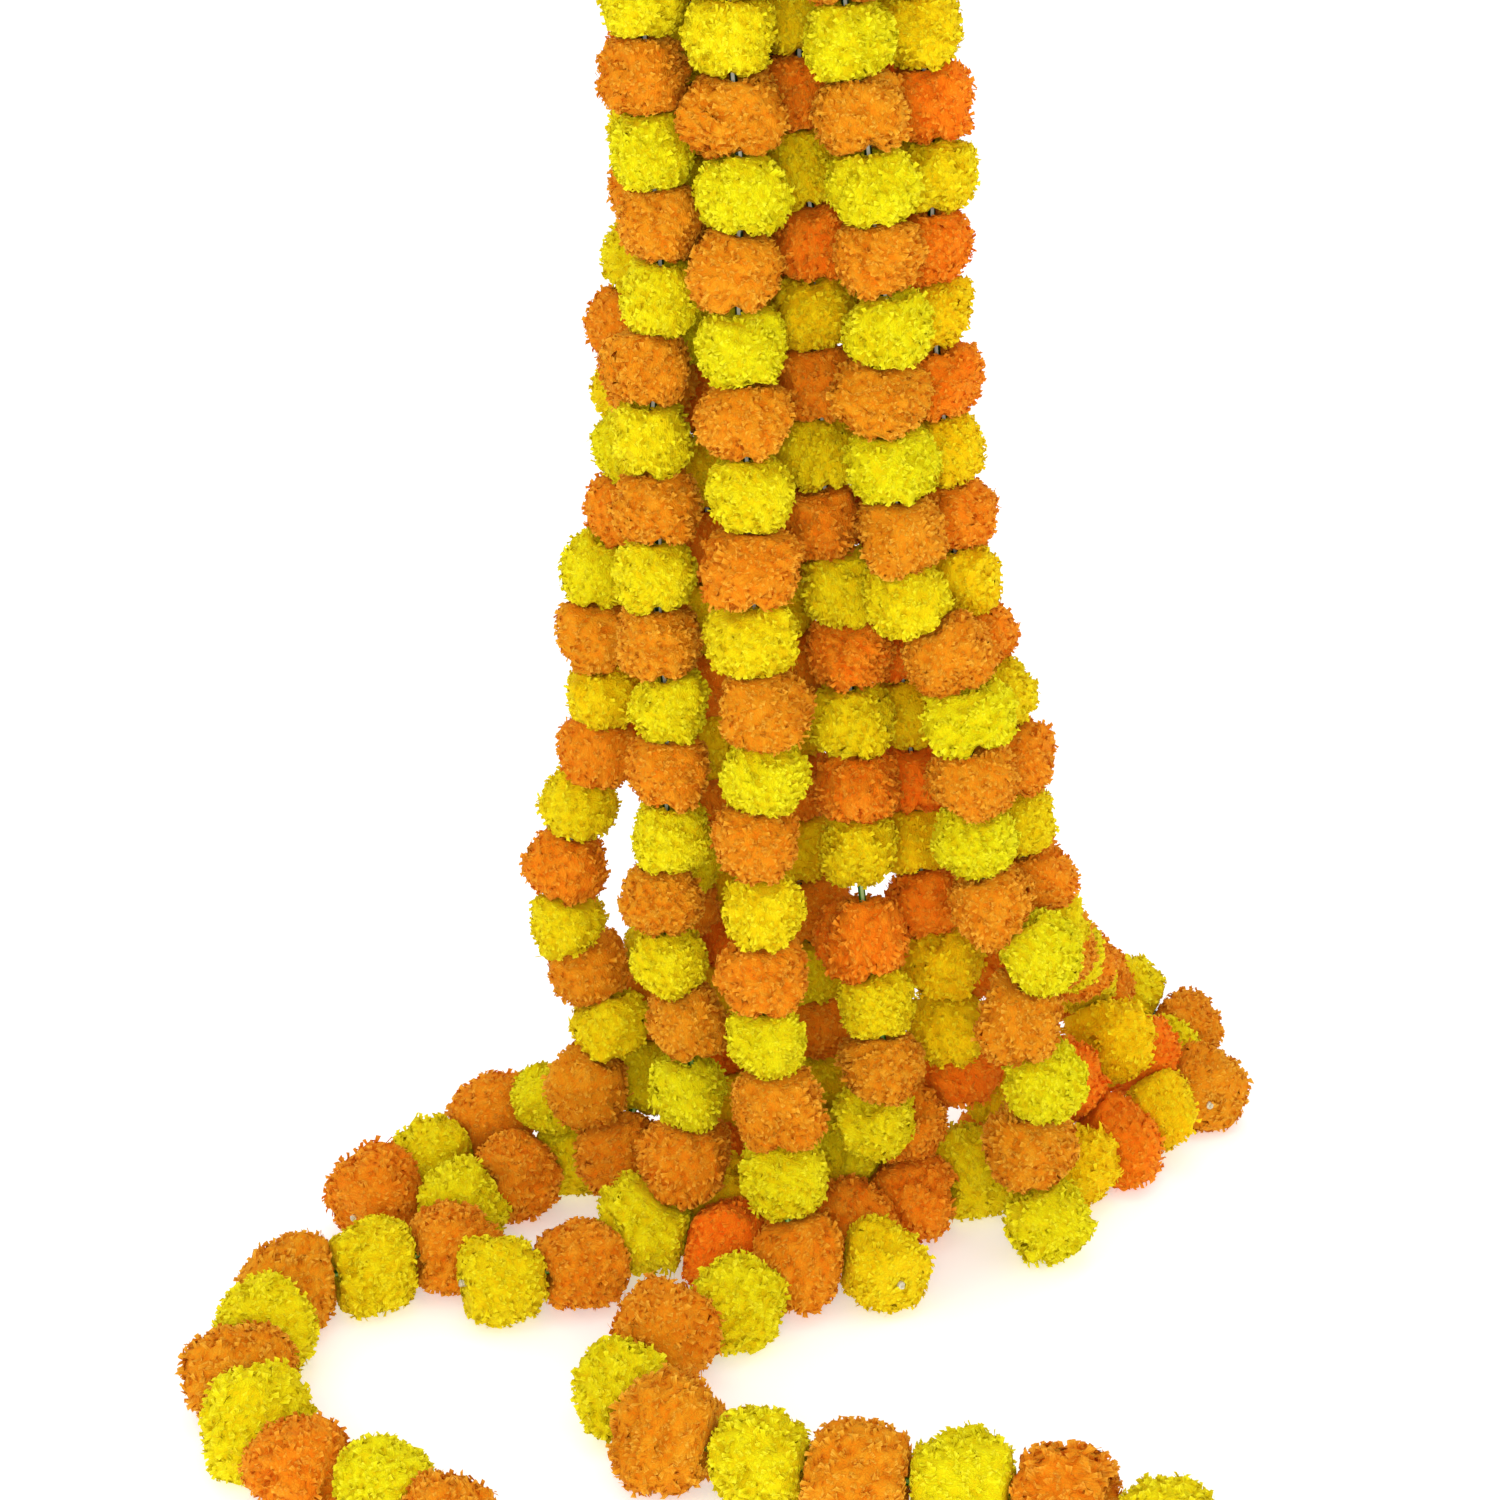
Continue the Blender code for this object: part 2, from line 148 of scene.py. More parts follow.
def thread(strand):
    name, _, first, hang_pitch, lie_pitch, low, runs, points = strand
    line = smooth_route(points)
    along = np.concatenate([[0], np.cumsum(np.linalg.norm(np.diff(line, axis=0), axis=1))])
    place = lambda s: np.array([np.interp(s, along, line[:, k]) for k in range(3)])
    s = along[int(np.argmax(line[:, 2] <= first))]
    middles = []
    for k in range(sum(runs) + 1):
        if s > along[-1]:
            over = line[-1] - line[-2]
            p = line[-1] + over / np.linalg.norm(over) * (s - along[-1])
        else:
            p = place(s)
        middles.append(p)
        t = min(1.0, max(0.0, (low - p[2]) / (0.6 * low)))
        s += LONG_STRAWS.get((name, k), hang_pitch + (lie_pitch - hang_pitch) * t * t * (3 - 2 * t))
    return np.array(middles)


def settle(middles, rounds=500):
    start = np.vstack(middles)
    owner = np.concatenate([[k] * len(m) for k, m in enumerate(middles)])
    n = len(start)
    i, j = np.triu_indices(n, 1)
    far = ~((owner[i] == owner[j]) & (j - i == 1))
    i, j = i[far], j[far]
    links = np.array([k for k in range(n - 1) if owner[k] == owner[k + 1]])
    pitch = np.linalg.norm(start[links + 1] - start[links], axis=1)
    p = start.copy()
    for r in range(rounds):
        if r < rounds * 0.7:
            p += 0.03 * (start - p)
        d = p[links + 1] - p[links]
        long = np.linalg.norm(d, axis=1)
        push = (0.5 * (1 - pitch / long))[:, None] * d
        np.add.at(p, links, 0.6 * push)
        np.add.at(p, links + 1, -0.6 * push)
        d = p[j] - p[i]
        long = np.linalg.norm(d, axis=1)
        near = long < ROOM + 0.4
        a, b = i[near], j[near]
        push = (0.5 * (ROOM + 0.4 - long[near]) / np.maximum(long[near], 1e-6))[:, None] * d[near]
        np.add.at(p, a, -0.8 * push)
        np.add.at(p, b, 0.8 * push)
        p[:, 2] = np.maximum(p[:, 2], LIE)
    cuts = np.cumsum([len(m) for m in middles])[:-1]
    return np.split(p, cuts)


def unit(v):
    return v / max(np.linalg.norm(v), 1e-9)


def necks_of(middles, onward):
    inner = (middles[1:] + middles[:-1]) / 2
    top = middles[0] + (middles[0] - middles[1]) / 2
    return np.vstack([top, inner, middles[-1] + onward / 2])


def lead_in(slot, neck, towards):
    span = np.linalg.norm(neck - slot)
    out = []
    for t in np.linspace(0, 1, 9)[:-1]:
        h = (2 * t**3 - 3 * t**2 + 1, t**3 - 2 * t**2 + t, -2 * t**3 + 3 * t**2, t**3 - t**2)
        out.append(h[0] * slot + h[1] * np.array([0, 0, -0.7 * span]) + h[2] * neck + h[3] * 0.8 * span * towards)
    return np.array(out)


def carried_frames(points, first_side=(1.0, 0.0, 0.0)):
    """Tangent and two side vectors at each point, carried along without twist."""
    d = np.diff(points, axis=0)
    d /= np.linalg.norm(d, axis=1)[:, None]
    t = np.vstack([d[:1], d[1:] + d[:-1], d[-1:]])
    t /= np.linalg.norm(t, axis=1)[:, None]
    side, sides = np.array(first_side), []
    for k in range(len(points)):
        side = unit(side - t[k] * side.dot(t[k]))
        sides.append(side)
    sides = np.array(sides)
    return t, sides, np.cross(t, sides)


threaded = [thread(s) for s in STRANDS]
laid = settle([t[:-1] for t in threaded])
necks = [necks_of(m, r[-1] - r[-2]) for m, r in zip(laid, threaded)]


# ------------------------------------------------------------ mesh building
def new_piece(name, verts, loops, sizes, material, slot, nodes=(), smooth=True, **attributes):
    """One mesh piece from arrays: verts in floor-frame mm, the faces' corners
    one after another, and each face's number of corners."""
    mesh = bpy.data.meshes.new(name)
    verts = (np.asarray(verts, float) - HANG) * MM
    mesh.vertices.add(len(verts))
    mesh.vertices.foreach_set("co", verts.astype(np.float32).ravel())
    mesh.loops.add(len(loops))
    mesh.loops.foreach_set("vertex_index", np.asarray(loops, np.int32))
    mesh.polygons.add(len(sizes))
    starts = np.concatenate([[0], np.cumsum(sizes)[:-1]])
    mesh.polygons.foreach_set("loop_start", starts.astype(np.int32))
    mesh.polygons.foreach_set("use_smooth", np.full(len(sizes), smooth))
    mesh.update(calc_edges=True)
    mesh.validate()
    for key, values in attributes.items():
        values = np.asarray(values, np.float32)
        kind = "FLOAT" if values.ndim == 1 else "FLOAT_VECTOR"
        made = mesh.attributes.new(key, kind, "POINT")
        made.data.foreach_set("value" if values.ndim == 1 else "vector", values.ravel())
    mesh.materials.append(material)
    piece = bpy.data.objects.new(name, mesh)
    bpy.context.scene.collection.objects.link(piece)
    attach(piece, "root")
    if nodes:
        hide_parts(*nodes)
    return piece


class Heap:
    """Collects vertices, faces and per-vertex values for one piece."""

    def __init__(self):
        self.v, self.loops, self.sizes, self.count, self.values = [], [], [], 0, {}

    def add(self, verts, loops, sizes, **values):
        self.v.append(verts)
        self.loops.append(np.asarray(loops) + self.count)
        self.sizes.append(np.asarray(sizes))
        for k, x in values.items():
            self.values.setdefault(k, []).append(x)
        self.count += len(verts)

    def piece(self, name, material, slot, nodes=(), smooth=True):
        return new_piece(name, np.vstack(self.v), np.concatenate(self.loops), np.concatenate(self.sizes),
                         material, slot, nodes, smooth,
                         **{k: np.concatenate(x) for k, x in self.values.items()})


def tube(points, radii, sides, closed=False, turn=0.0):
    """A tube through the points: its vertices, loops and face sizes, capped
    unless closed on itself, with 'round' (0..1) and 'along' (mm) values."""
    points = np.asarray(points, float)
    if closed:
        ring_pts = np.vstack([points[-1:], points, points[:1]])
        t, s, u = carried_frames(ring_pts)
        t, s, u = t[1:-1], s[1:-1], u[1:-1]
    else:
        t, s, u = carried_frames(points)
    a = turn + 2 * np.pi * np.arange(sides) / sides
    radii = np.broadcast_to(np.asarray(radii, float), (len(points),))
    v = points[:, None] + radii[:, None, None] * (np.cos(a)[None, :, None] * s[:, None] + np.sin(a)[None, :, None] * u[:, None])
    n, m = len(points), sides
    k = np.arange(n if closed else n - 1)
    c = np.arange(m)
    kk, cc = np.meshgrid(k, c, indexing="ij")
    nxt, side = (kk + 1) % n, (cc + 1) % m
    quads = np.stack([kk * m + cc, kk * m + side, nxt * m + side, nxt * m + cc], -1).reshape(-1, 4)
    loops, sizes = quads.ravel(), np.full(len(quads), 4)
    if not closed:
        loops = np.concatenate([loops, np.arange(m)[::-1], (n - 1) * m + np.arange(m)])
        sizes = np.concatenate([sizes, [m, m]])
    along = np.concatenate([[0], np.cumsum(np.linalg.norm(np.diff(points, axis=0), axis=1))])
    return v.reshape(-1, 3), loops, sizes, np.tile(np.arange(m) / m, n), np.repeat(along, m)


# ---------------------------------------------------------------- materials
def linear(r, g, b):
    out = []
    for c in (r, g, b):
        c /= 255.0
        out.append(c / 12.92 if c <= 0.04045 else ((c + 0.055) / 1.055) ** 2.4)
    return (*out, 1.0)


def new_material(name):
    material = bpy.data.materials.new(name)
    material.use_nodes = True
    tree = material.node_tree
    return material, tree, tree.nodes["Principled BSDF"]


def ramp(tree, stops, source):
    node = tree.nodes.new("ShaderNodeValToRGB")
    el = node.color_ramp.elements
    while len(el) < len(stops):
        el.new(0.5)
    for e, (at, colour) in zip(el, stops):
        e.position, e.color = at, colour
    tree.links.new(source, node.inputs["Fac"])
    return node.outputs["Color"]


def attribute(tree, name):
    node = tree.nodes.new("ShaderNodeAttribute")
    node.attribute_name = name
    return node


def maths(tree, operation, a, b=None):
    node = tree.nodes.new("ShaderNodeMath")
    node.operation = operation
    for k, x in enumerate((a, b)):
        if x is None:
            continue
        if isinstance(x, (int, float)):
            node.inputs[k].default_value = x
        else:
            tree.links.new(x, node.inputs[k])
    return node.outputs[0]


def noise(tree, scale, detail=2.0, vector=None, rough=0.5):
    node = tree.nodes.new("ShaderNodeTexNoise")
    node.inputs["Scale"].default_value = scale
    node.inputs["Detail"].default_value = detail
    node.inputs["Roughness"].default_value = rough
    if vector is None:
        co = tree.nodes.new("ShaderNodeTexCoord")
        vector = co.outputs["Object"]
    tree.links.new(vector, node.inputs["Vector"])
    return node.outputs["Fac"]


def felt(name, light, full):
    """Crimped felt petals.  `light` and `full` are the same petal lit and in painted shade (`full` deeper and redder),
    each as root, body, rim and tip colours: the root darker as painted shade, the rim and tip paler as painted light."""
    material, tree, shader = new_material(name)
    edge = attribute(tree, "edge").outputs["Fac"]
    tone = attribute(tree, "tone").outputs["Fac"]
    grain = attribute(tree, "grain").outputs["Vector"]
    xyz = tree.nodes.new("ShaderNodeSeparateXYZ")
    tree.links.new(grain, xyz.inputs[0])
    pleat = maths(tree, "ADD", maths(tree, "MULTIPLY", xyz.outputs[0], 5.2),
                  maths(tree, "MULTIPLY", noise(tree, 0.8, 1.0, grain), 16.0))
    pleat = maths(tree, "MULTIPLY", maths(tree, "SINE", pleat), 0.30)
    blotch = noise(tree, 130.0, 1.0)
    # colour runs from painted shade at petal roots and hollows to painted light at the tips, with random blotches of
    # tone; the crimps' ridges are painted lighter and their folds darker as painted shade
    where = maths(tree, "ADD", edge, maths(tree, "MULTIPLY", maths(tree, "SUBTRACT", blotch, 0.5), 0.35))
    where = maths(tree, "ADD", where, maths(tree, "MULTIPLY", pleat, 0.45))
    mix = tree.nodes.new("ShaderNodeMix")
    mix.data_type = "RGBA"
    tree.links.new(tone, mix.inputs["Factor"])
    # root: painted shade in the creases; rim and tip: painted light
    for socket, (root_shade, body, rim, tip) in ((6, light), (7, full)):
        colour = ramp(tree, [(0.25, root_shade), (0.60, body), (0.88, rim), (1.0, tip)], where)
        tree.links.new(colour, mix.inputs[socket])
    tree.links.new(mix.outputs[2], shader.inputs["Base Color"])
    shader.inputs["Roughness"].default_value = 0.85
    shader.inputs["Specular IOR Level"].default_value = 0.1
    shader.inputs["Sheen Weight"].default_value = 0.30
    shader.inputs["Sheen Roughness"].default_value = 0.5
    shader.inputs["Sheen Tint"].default_value = light[3]
    bump = tree.nodes.new("ShaderNodeBump")
    bump.inputs["Strength"].default_value = 0.7
    bump.inputs["Distance"].default_value = 0.0010
    crimp = maths(tree, "ADD", pleat, maths(tree, "MULTIPLY", noise(tree, 560.0, 0.0), 0.35))
    tree.links.new(crimp, bump.inputs["Height"])
    tree.links.new(bump.outputs["Normal"], shader.inputs["Normal"])
    return material


YELLOW = felt("felt_yellow",
              (linear(232, 203, 0), linear(231, 222, 5), linear(245, 236, 24), linear(249, 240, 46)),
              (linear(252, 186, 0), linear(254, 204, 4), linear(254, 220, 16), linear(255, 228, 34)))
ORANGE = felt("felt_orange",
              (linear(233, 131, 8), linear(230, 148, 20), linear(236, 164, 38), linear(244, 178, 56)),
              (linear(252, 106, 5), linear(253, 124, 13), linear(254, 144, 26), linear(255, 156, 42)))


def straw_material():
    """Thin glossy plastic, with a pale painted highlight down the side turned to the camera and dark painted shade
    at its sides; straws lying in the light are painted a clearer green, those in the bunch a darker, shaded green."""
    material, tree, shader = new_material("straw_green")
    streak = attribute(tree, "streak").outputs["Fac"]
    light = attribute(tree, "light").outputs["Fac"]
    mix = tree.nodes.new("ShaderNodeMix")
    mix.data_type = "RGBA"
    tree.links.new(light, mix.inputs["Factor"])
    shaded_green = ramp(tree, [(0.30, linear(14, 46, 26)), (0.52, linear(40, 96, 44)), (0.62, linear(228, 232, 208))], streak)
    lit_green = ramp(tree, [(0.20, linear(38, 110, 26)), (0.45, linear(104, 186, 52)), (0.80, linear(178, 226, 112))], streak)
    tree.links.new(shaded_green, mix.inputs[6])
    tree.links.new(lit_green, mix.inputs[7])
    tree.links.new(mix.outputs[2], shader.inputs["Base Color"])
    shader.inputs["Roughness"].default_value = 0.18
    shader.inputs["Specular IOR Level"].default_value = 0.6
    return material


def cord_material(name, a, b, scale=700.0):
    material, tree, shader = new_material(name)
    twist = noise(tree, scale, 3.0)
    tree.links.new(ramp(tree, [(0.25, a), (0.75, b)], twist), shader.inputs["Base Color"])
    shader.inputs["Roughness"].default_value = 0.9
    bump = tree.nodes.new("ShaderNodeBump")
    bump.inputs["Strength"].default_value = 0.5
    bump.inputs["Distance"].default_value = 0.0004
    tree.links.new(twist, bump.inputs["Height"])
    tree.links.new(bump.outputs["Normal"], shader.inputs["Normal"])
    return material


STRAW = straw_material()
CORD = cord_material("cord_cotton", linear(196, 186, 150), linear(236, 230, 206))
BINDING = cord_material("cord_binding", linear(190, 176, 132), linear(232, 222, 188), 500.0)

# --------------------------------------------------------------------- cords
for (name, slot_angle, *_), middles, neck in zip(STRANDS, laid, necks):
    a = math.radians(slot_angle)
    slot = np.array([HANG[0] + CORD_RING_R * math.cos(a), HANG[1] + CORD_RING_R * math.sin(a), TIE_BOTTOM - GAP])
    lead = lead_in(slot, neck[0], unit(middles[0] - neck[0]))
    out = unit(neck[-1] - neck[-2])
    onward = neck[-1] - out * 2.5
    line = smooth_route(np.vstack([lead[:-1], neck, onward]), per_span=7)
    v, loops, sizes, around, along = tube(line, 1.0, 6)
    heap = Heap()
    heap.add(v, loops, sizes, along=along)
    # the stop knot, drawn up into the last bloom: the cord wound three times round itself
    t, s, u = carried_frames(line)
    w = np.linspace(0, 3 * 2 * np.pi, 40)
    left = np.linalg.norm(line - line[-1], axis=1)
    at = int(np.argmax(left < 4.5))
    coil = line[at] + t[at] * (-2.2 + 4.4 * w / w[-1])[:, None] + 1.7 * (np.cos(w)[:, None] * s[at] + np.sin(w)[:, None] * u[at])
    v, loops, sizes, around, along = tube(coil, 1.0, 6)
    heap.add(v, loops, sizes, along=along)
    piece = heap.piece(name + "_cord", CORD, "cord", [name + "_string"])


# -------------------------------------------------------------------- blooms
def profile(a, b, steps=240):
    """A bloom's outline from its upper dip over the shoulder to its lower one:
    distance from the cord and height."""
    th = np.linspace(0.035, np.pi - 0.035, steps)
    s, c = np.sin(th), np.cos(th)
    rho = a * s**1.12
    z = b * c
    z *= 1 - 0.50 * np.exp(-((rho / 8.5) ** 2))
    return rho, z * b / z.max()


def waves(rng, wavelength, count=7):
    """A smooth random push at every point: a sum of plane waves."""
    way = rng.normal(size=(count, 3))
    way *= (2 * np.pi / wavelength) * rng.uniform(0.75, 1.3, (count, 1)) / np.linalg.norm(way, axis=1)[:, None]
    push = rng.normal(size=(count, 3))
    push /= np.linalg.norm(push, axis=1)[:, None]
    start = rng.uniform(0, 2 * np.pi, count)
    return lambda p: np.cos(p @ way.T + start) @ push * math.sqrt(6.0 / count)


BLOOM_A, BLOOM_B = 29.0, 26.0


def spread(count, rng=None, stray=0.0):
    """Points spread evenly over a unit ball."""
    k = np.arange(count) + 0.5
    z = 1 - 2 * k / count
    turn = k * math.pi * (3 - math.sqrt(5))
    if rng is not None:
        z = np.clip(z + stray * rng.normal(size=count) / math.sqrt(count), -0.995, 0.995)
        turn = turn + stray * rng.normal(size=count) / math.sqrt(count)
    return z, turn % (2 * np.pi)


def skin(z, phi):
    """Triangles that close over points on a unit ball."""
    r = np.sqrt(1 - z * z)
    bm = bmesh.new()
    made = [bm.verts.new(q) for q in zip(r * np.cos(phi), r * np.sin(phi), z)]
    bm.verts.index_update()
    bmesh.ops.convex_hull(bm, input=made)
    tris = np.array([[v.index for v in f.verts] for f in bm.faces])
    bm.free()
    return tris


def bloom(seed, points, petals, a=BLOOM_A, b=BLOOM_B):
    """A pompom of crimped petals in mm, with its cord along z: an uneven
    close-packed ball, with the petals' free ends leaning out of it in tufts.
    Returns vertices, loops, sizes, the height on the petal (0 root .. 1 rim),
    which the felt turns into painted shade low down and painted light at the tips,
    and the grain coordinates."""
    rng = np.random.default_rng(seed)
    rho, z = profile(a, b)
    arc = np.concatenate([[0], np.cumsum(np.hypot(np.diff(rho), np.diff(z)))])
    skin_area = np.concatenate([[0], np.cumsum(0.5 * (rho[1:] + rho[:-1]) * np.diff(arc))])
    fold, flop, lump, fine = waves(rng, 8.0), waves(rng, 4.5), waves(rng, 42.0), waves(rng, 16.0)

    def surface(ball_z, phi):
        s = np.interp((1 - ball_z) / 2 * skin_area[-1], skin_area, arc)
        r, h = np.interp(s, arc, rho), np.interp(s, arc, z)
        dr = np.interp(s + 0.6, arc, rho) - np.interp(s - 0.6, arc, rho)
        dh = np.interp(s + 0.6, arc, z) - np.interp(s - 0.6, arc, z)
        long = np.hypot(dr, dh)
        nr, nh = -dh / long, dr / long
        p = np.stack([r * np.cos(phi), r * np.sin(phi), h], 1)
        n = np.stack([nr * np.cos(phi), nr * np.sin(phi), nh], 1)
        n = n + 0.5 * p / np.linalg.norm(p, axis=1)[:, None]
        n /= np.linalg.norm(n, axis=1)[:, None]
        swell = 1 + 0.055 * lump(p)[:, 0] + 0.035 * fine(p)[:, 1]
        return p * swell[:, None], n

    def flat(v, n):
        return v - n * (v * n).sum(1)[:, None]

    ball_z, phi = spread(points)
    tris = skin(ball_z, phi)
    p, n = surface(ball_z, phi)
    rise = BODY_RISE[0] * fold(p)[:, 0] + BODY_RISE[1] * rng.normal(size=points)
    body = p + 0.8 * flat(fold(p), n) + n * (rise - 0.6)[:, None] + flat(rng.normal(0, 0.45, (points, 3)), n)
    turned = np.cross(body[tris[:, 1]] - body[tris[:, 0]], body[tris[:, 2]] - body[tris[:, 0]])
    tris = np.where(((turned * n[tris[:, 0]]).sum(1) < 0)[:, None], tris[:, ::-1], tris)

    ball_z, phi = spread(petals, rng, 0.35)
    c, up = surface(ball_z, phi)
    lie = 1.3 * fold(c) + 0.5 * flop(c) + 0.35 * rng.normal(size=(petals, 3))
    t = flat(lie, up)
    t /= np.linalg.norm(t, axis=1)[:, None] + 1e-9
    w = np.cross(up, t)
    foot = c + 0.8 * flat(fold(c), up) + up * (BODY_RISE[0] * fold(c)[:, :1] - 1.3)
    far, high = rng.uniform(*PETAL_OUT, petals), rng.uniform(*PETAL_UP, petals)
    broad, end = rng.uniform(0.8, 1.2, petals), rng.uniform(1.0, 1.8, petals)
    tip = c + 0.8 * flat(fold(c), up) + t * far[:, None] + up * high[:, None]
    slant = t * rng.normal(0, 0.45, (petals, 1)) + up * rng.normal(0, 0.35, (petals, 1))
    curl = up * rng.normal(0, 0.35, (petals, 1))
    four = np.stack([foot - w * broad[:, None], foot + w * broad[:, None],
                     tip + w * end[:, None] + slant + curl, tip - w * end[:, None] - slant + curl], 1)
    verts = np.vstack([body, four.reshape(-1, 3)])
    loops = np.concatenate([tris.ravel(), points + np.arange(4 * petals)])
    sizes = np.concatenate([np.full(len(tris), 3), np.full(petals, 4)])
    # hollows of the ball and petal roots low, petal tips high: painted shade and painted light in the felt's colour
    edge = np.concatenate([np.clip(0.50 + 0.13 * rise, 0.2, 0.8), np.tile([0.42, 0.42, 1.0, 1.0], petals)])
    own = np.repeat(rng.uniform(0, 60, petals), 4)
    across = np.tile([-1.0, 1.0, 1.3, -1.3], petals)
    grain = np.vstack([body / 1.5, np.stack([across + own, np.tile([0.0, 0.0, 0.8, 0.8], petals), own], 1)])
    return verts, loops, sizes, edge, grain


# how uneven the ball is, and how far the petals' ends reach, mm
BODY_RISE = (0.85, 0.35)
PETAL_OUT = (1.5, 4.6)
PETAL_UP = (0.8, 2.3)
# the blooms the picture shows best carry more petals than those behind
FINE = [bloom(100 + k, 1180, 880) for k in range(8)]
PLAIN = [bloom(200 + k, 820, 570) for k in range(6)]
IN_FRONT = {"front_centre", "front_left", "front_right", "second_centre", "second_right"}

everyone = np.vstack(laid)
owner = np.concatenate([[k] * len(m) for k, m in enumerate(laid)])
index = np.concatenate([np.arange(len(m)) for m in laid])


# blooms that are plainly larger than the rest, mm
LARGE = {("front_centre", 3): 4.0, ("front_centre", 9): 3.0, ("front_right", 13): 2.5, ("front_right", 12): 2.5,
         ("middle_left", 24): 2.5, ("middle_left", 26): 3.0, ("middle_left", 27): 4.5, ("middle_left", 28): 6.0,
         ("front_left", 20): 4.0, ("front_centre", 20): 1.5, ("front_centre", 21): 3.0, ("front_centre", 23): 4.0,
         ("front_centre", 25): 3.5, ("front_centre", 27): 3.5, ("right_back", 24): -5.0, ("left_middle", 20): -3.0,
         ("second_right", 8): -3.0, ("second_right", 10): -2.0}
# how deep the painted shade is: strand by strand, high up and low down; the strands set behind and in the bunch get the
# deeper, redder colour as painted shade
SHADE_DEPTH = {"front_centre": (0.0, 0.2), "front_left": (0.1, 0.15), "front_right": (0.0, 0.1),
       "second_centre": (0.7, 0.35), "second_right": (0.7, 0.3), "left_middle": (0.15, 0.3),
       "left_back": (0.3, 1.0), "middle_left": (1.0, 0.25), "middle_back": (0.7, 0.4),
       "right_back": (1.0, 0.8)}


BEHIND = {"middle_back", "right_back", "left_back"}


def radius_of(strand, k, z):
    """Half a bloom's width: fuller on the floor, where nothing pulls it flat."""
    low = np.clip((170.0 - z) / 120.0, 0, 1)
    full = 27.6 + 3.9 * low if k % 2 == 0 else 29.2 + 3.6 * low
    if STRANDS[strand][0] == "front_left":
        full -= 1.6 * (1 - low)
    if STRANDS[strand][0] in BEHIND:
        full += 1.8
    return full + LARGE.get((STRANDS[strand][0], k), 0.0)


sizes_all = np.array([radius_of(o, k, p[2]) for o, k, p in zip(owner, index, everyone)])


def soft_limit(d, most, ease=0.78):
    """Distances that may not pass `most`, eased in from `ease` of it."""
    most = np.maximum(most, 4.0)
    start = ease * most
    span = most - start
    over = np.maximum(d - start, 0)
    return np.where(d > start, start + span * (1 - np.exp(-over / span)), d)


rng = np.random.default_rng(7)
# how the pressed faces of two blooms on one cord wave in and out
PRESS = {(s, k): (rng.normal(0, 1.6, 3), rng.uniform(0, 2 * np.pi, 3), rng.random())
         for s, m in enumerate(laid) for k in range(len(m) + 1)}
to_camera = np.array([0.0, -1.0, 0.45])

